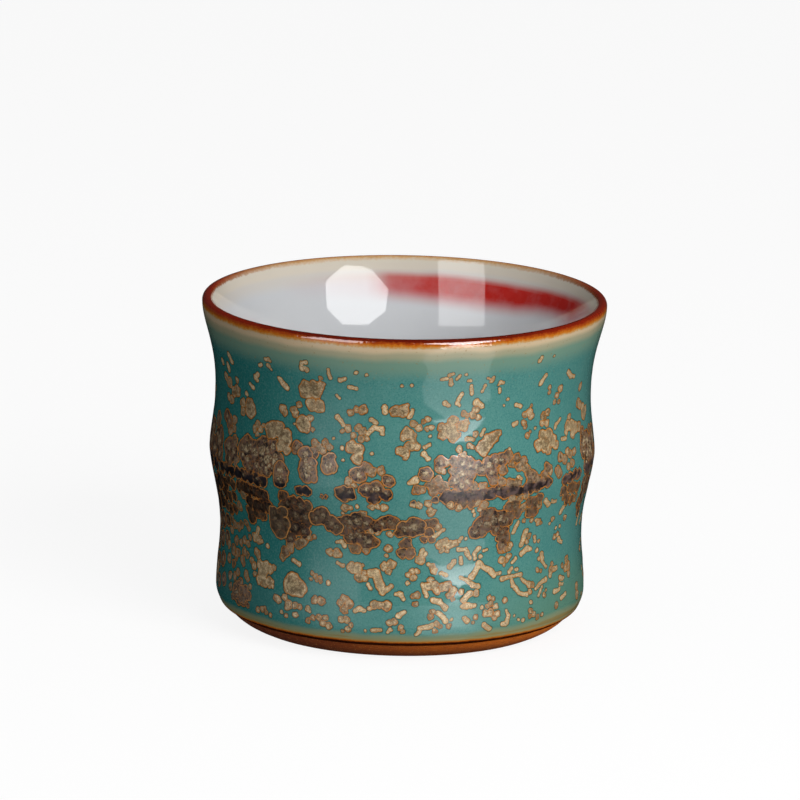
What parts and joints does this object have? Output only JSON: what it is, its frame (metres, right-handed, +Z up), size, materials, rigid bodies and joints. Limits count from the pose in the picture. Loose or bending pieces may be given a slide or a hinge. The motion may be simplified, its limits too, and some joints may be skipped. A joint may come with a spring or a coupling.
{
  "type": "ceramic teacup",
  "caption": "Handleless stoneware tea cup with a flared mouth, a bamboo-style node ridge, a kiln-change glaze outside, a white liner and a bare clay foot.",
  "frame": {"origin": "centre of the foot's resting face, on the table", "axes": "+Z up the cup's axis, -Y towards the picture's camera, +X to its right"},
  "size_m": [0.075, 0.075, 0.0614],
  "materials": {
    "stoneware": "bare fired clay, sandy",
    "turquoise_glaze": "glossy, mottled, with tan crystals",
    "amber_glaze": "glossy",
    "white_glaze": "glossy",
    "red_glaze": "glossy, soft-edged"
  },
  "bodies": {
    "root": {"clay_body": "stoneware", "foot_ring": "stoneware", "outer_glaze": "turquoise_glaze", "rim_glaze": "amber_glaze", "foot_line_glaze": "amber_glaze", "liner_glaze": "white_glaze", "red_band": "red_glaze", "base_glaze": "white_glaze"}
  },
  "joints": []
}
